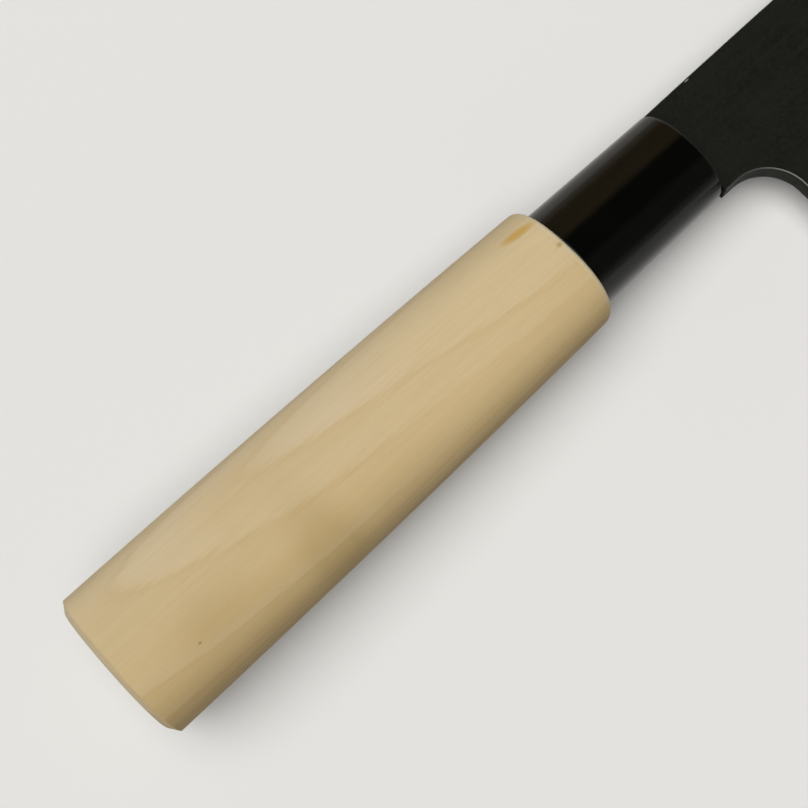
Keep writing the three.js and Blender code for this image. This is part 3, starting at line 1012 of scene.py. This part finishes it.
SPINE_CHAIN = [(x, spine_at(x)) for x in steps(NECK_BACK, CLIP_X, SPINE_STEPS)]
SPINE_CHAIN += [(x, clip_at(x)) for x in steps(CLIP_X, meets_clip(ridge_at), CLIP_STEPS)[1:]]
HEEL_CHAIN = [(x, NECK_BOTTOM) for x in steps(NECK_BACK, CHOIL_X, NECK_STEPS)[:-1]]
for turn in steps(QUARTER, -HEEL_LEAN, CHOIL_STEPS):
    HEEL_CHAIN.append((CHOIL_X + CHOIL_RADIUS * math.cos(turn), CHOIL_Y + CHOIL_RADIUS * math.sin(turn)))
heel_end = ridge_at(meets_heel(ridge_at))
HEEL_CHAIN += [(heel_x_at(y), y) for y in steps(HEEL_ROOT_Y, heel_end, HEEL_STEPS)[1:]]
print("outline points:", len(SPINE_CHAIN), "along the spine,", len(HEEL_CHAIN), "round the choil")

# %% [markdown]
# ## Builder for one layer
# A layer is a closed mesh made of zones: flat, bevel, rim, wall, weld and tang. A zone has the forge skin
# unless it is given another finish, and the edge between two zones is kept crisp, apart from the one where
# rim and wall flow together. The builder collects vertices and faces in the knife's millimetres, and the
# finished mesh goes to its place in the room at the end.

# %% Layer builder
CRISP_ANGLE = math.radians(30)
FAR_ABOVE = 9.0


class Layer:
    """A blade layer in the making: its vertices, its faces and the zone of each face."""

    def __init__(self, name, **finishes):
        self.name = name
        self.finishes = finishes
        self.mesh = bmesh.new()
        self.above = self.mesh.verts.layers.float.new("above_weld")
        self.below = self.mesh.verts.layers.float.new("below_ridge")
        self.zones = {}

    def point(self, x, y, z, above=FAR_ABOVE):
        """A new point, with how far it lies above the weld line and below the ridge."""
        vertex = self.mesh.verts.new((x, y, z))
        vertex[self.above] = above
        vertex[self.below] = max(0.0, ridge_at(x) - y)
        return vertex

    def face(self, zone, *corners):
        self.zones[self.mesh.faces.new(corners)] = zone

    def strip(self, zone, first, second):
        """Quads between two rows of points."""
        for i in range(len(first) - 1):
            self.face(zone, first[i], first[i + 1], second[i + 1], second[i])

    def finish(self):
        """The layer as an object at its place in the room."""
        materials = [FORGE_SKIN, *self.finishes.values()]
        for face, zone in self.zones.items():
            face.material_index = materials.index(self.finishes.get(zone, FORGE_SKIN))
            face.smooth = True
        for edge in self.mesh.edges:
            zones = {self.zones[face] for face in edge.link_faces}
            flows = len(zones) == 1 or zones == {"rim", "wall"}
            edge.smooth = flows and edge.calc_face_angle(0.0) < CRISP_ANGLE
        turn_out(self.name, self.mesh)
        mesh = bpy.data.meshes.new(self.name)
        self.mesh.to_mesh(mesh)
        self.mesh.free()
        for material in materials:
            mesh.materials.append(material)
        mesh.transform(KNIFE)
        return new_object(self.name, mesh)


print("layer builder ready")

# %% [markdown]
# The weld is a plane down to a little above the weld line, where it bends out to meet the wavering line on
# the bevel. Cladding and core use the same points there, so the two lie against each other without a gap.
# The tang behind the neck is forged in one with the blade, so it is parted by the same plane.

# %% Weld and tang points
BEVEL_STEPS = 150
WELD_BEND = 2.0


def weld_rows(layer, side):
    """Points of the weld: along both chains, along the weld line, and round the tang."""
    def line(x):
        return weld_at(x, side)

    spine = [layer.point(x, y, side * core_half(x)) for x, y in SPINE_CHAIN]
    heel = [layer.point(x, y, side * core_half(x)) for x, y in HEEL_CHAIN]
    reach = steps(meets_clip(line), meets_heel(line), BEVEL_STEPS)
    out = [layer.point(x, line(x), side * bevel_half(x, line(x)), 0.0) for x in reach]
    bend = [layer.point(x, line(x) + WELD_BEND, side * core_half(x)) for x in reach[1:-1]]
    tang = []
    for x, sign in ((NECK_BACK, -1), (TANG_END, -1), (TANG_END, 1), (NECK_BACK, 1)):
        tang.append(layer.point(x, sign * tang_height(x) / 2, side * core_half(x)))
    layer.strip("weld", [spine[-1], *bend, heel[-1]], out)
    layer.face("weld", *spine, *bend, *reversed(heel), *tang)
    return spine, heel, out, tang


print("the weld bends out", WELD_BEND, "mm above its line")

# %% [markdown]
# ## Cladding on both faces
# Each cladding layer covers one face: the flat with its forge skin, the bevel, the rim and the outer half
# of the walls, and its share of the tang. First come the rows of points round the rim and down the bevel.

# %% Rim and bevel of the cladding
RIM_STEPS = 4
SPINE_EASE, CHOIL_EASE = 0.22, 0.18


def rim_rows(layer, side, chain, normals, ease):
    """Rows of points from the face, round the rim, to the top of the wall."""
    rows = []
    for turn in steps(0, QUARTER, RIM_STEPS):
        row = []
        for (x, y), normal in zip(chain, normals):
            spot = Vector((x, y)) + normal * ease * (1 - math.sin(turn))
            half = flat_half(spot.x) - ease * (1 - math.cos(turn))
            row.append(layer.point(spot.x, spot.y, side * half))
        rows.append(row)
    return rows


def bevel_rows(layer, side, tip, heel, out):
    """The bevel from the ridge to the weld line, with a row of points just above the weld."""
    reach = steps(tip.co.x, heel.co.x, BEVEL_STEPS)[1:-1]
    ridge = [tip, *(layer.point(x, ridge_at(x), side * flat_half(x)) for x in reach), heel]
    cloud = []
    for low, high in list(zip(out, ridge))[1:-1]:
        share = CLOUD_HEIGHT / (high.co.y - low.co.y)
        cloud.append(layer.point(*low.co.lerp(high.co, share), CLOUD_HEIGHT))
    layer.strip("bevel", ridge, [out[0], *cloud, out[-1]])
    layer.strip("bevel", cloud, out[1:-1])
    layer.face("bevel", out[0], cloud[0], out[1])
    layer.face("bevel", out[-1], out[-2], cloud[-1])
    return ridge


print("rim eased by", SPINE_EASE, "mm along the spine and", CHOIL_EASE, "mm round the choil")

# %% [markdown]
# Then the faces are laid between those rows. One function makes both layers, because the left face mirrors
# the right one apart from its own weld line.

# %% Cladding
def make_cladding(name, side):
    layer = Layer(name, bevel=CLAD_BEVEL, rim=WORN_RIM)
    spine, heel, out, tang = weld_rows(layer, side)
    tops = rim_rows(layer, side, SPINE_CHAIN, inward(SPINE_CHAIN, 1), SPINE_EASE)
    lows = rim_rows(layer, side, HEEL_CHAIN, inward(HEEL_CHAIN, -1), CHOIL_EASE)
    for rows, wall, end in ((tops, spine, out[0]), (lows, heel, out[-1])):
        for first, second in zip(rows, rows[1:]):
            layer.strip("rim", first, second)
            layer.face("rim", first[-1], second[-1], end)
        layer.strip("wall", rows[-1], wall)
        layer.face("wall", rows[-1][-1], wall[-1], end)
    ridge = bevel_rows(layer, side, tops[0][-1], lows[0][-1], out)
    layer.face("flat", *tops[0], *ridge[1:-1], *reversed(lows[0]))
    outer = []
    for vertex in tang:
        x, y, _ = vertex.co
        outer.append(layer.point(x, y, side * tang_thickness(x) / 2))
    layer.strip("tang", tang, outer)
    layer.face("tang", *outer)
    top = [row[0] for row in reversed(tops)]
    low = [row[0] for row in lows]
    layer.face("back", spine[0], *top, *low, heel[0], tang[0], outer[0], outer[-1], tang[-1])
    return layer.finish()


for name, side in (("cladding_right_face", 1), ("cladding_left_face", -1)):
    cladding = make_cladding(name, side)
    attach(cladding, "root")
    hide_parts(name.replace("_face", ""))

# %% [markdown]
# ## Hard core
# The core is the thin hard layer in the middle. It shows as a bright band along the edge, below the weld
# lines, and as a narrow stripe in the middle of the spine, choil and heel. Its honed facets meet in the
# cutting edge.

# %% Core
layer = Layer("core_with_edge", bevel=CORE_BEVEL, hone=HONED)
welds = [weld_rows(layer, side) for side in (1, -1)]
hone_x = steps(meets_clip(hone_at), meets_heel(hone_at), BEVEL_STEPS)
edge_x = steps(TIP_X, HEEL_X, BEVEL_STEPS)
facets = []
for side, (_, _, out, _) in zip((1, -1), welds):
    hone = [layer.point(x, hone_at(x), side * HONE_HALF) for x in hone_x]
    edge = [layer.point(x, edge_at(x), side * EDGE_HALF) for x in edge_x]
    layer.strip("bevel", out, hone)
    layer.strip("hone", hone, edge)
    facets.append((hone, edge))
(spine, heel, out, tang), (left_spine, left_heel, left_out, left_tang) = welds
(hone, edge), (left_hone, left_edge) = facets
layer.strip("wall", spine, left_spine)
layer.strip("wall", heel, left_heel)
layer.strip("hone", edge, left_edge)
for chain, left_chain, end in ((spine, left_spine, 0), (heel, left_heel, -1)):
    layer.face("wall", chain[-1], out[end], hone[end], edge[end],
               left_edge[end], left_hone[end], left_out[end], left_chain[-1])
layer.strip("tang", tang, left_tang)
layer.face("tang", spine[0], left_spine[0], left_tang[-1], tang[-1])
layer.face("tang", heel[0], left_heel[0], left_tang[0], tang[0])

core = layer.finish()
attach(core, "root")
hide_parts("core_steel")

# %% [markdown]
# ## Bedding and seal
# The tang is bedded in the wood, and a dark filler closes the ferrule's slot round it. Both are hidden or
# nearly so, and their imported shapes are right, so they only get a finish: a slightly uneven set resin.

# %% Bedding and seal
def set_resin(name, colour, deep, roughness):
    material, surface, place = new_finish(name)
    cloud = use(place, MOTTLE, Size=1.5)
    set_inputs(surface, Base_Color=painted(colour, (cloud, deep)),
               Roughness=fade(cloud, 0.0, 1.0, roughness, roughness + 0.12))
    relief(surface, cloud, 0.2, 0.05)
    return material


SET_BEDDING = set_resin("set_bedding", tint(190, 176, 146), tint(170, 154, 122), 0.6)
DARK_SEAL = set_resin("dark_seal", tint(28, 26, 24), tint(40, 37, 33), 0.45)
for node, finish in (("tang_bedding", SET_BEDDING), ("tang_seal", DARK_SEAL)):
    mesh = frame["nodes"][node].data
    mesh.materials.clear()
    mesh.materials.append(finish)
    print(node, "gets", finish.name)
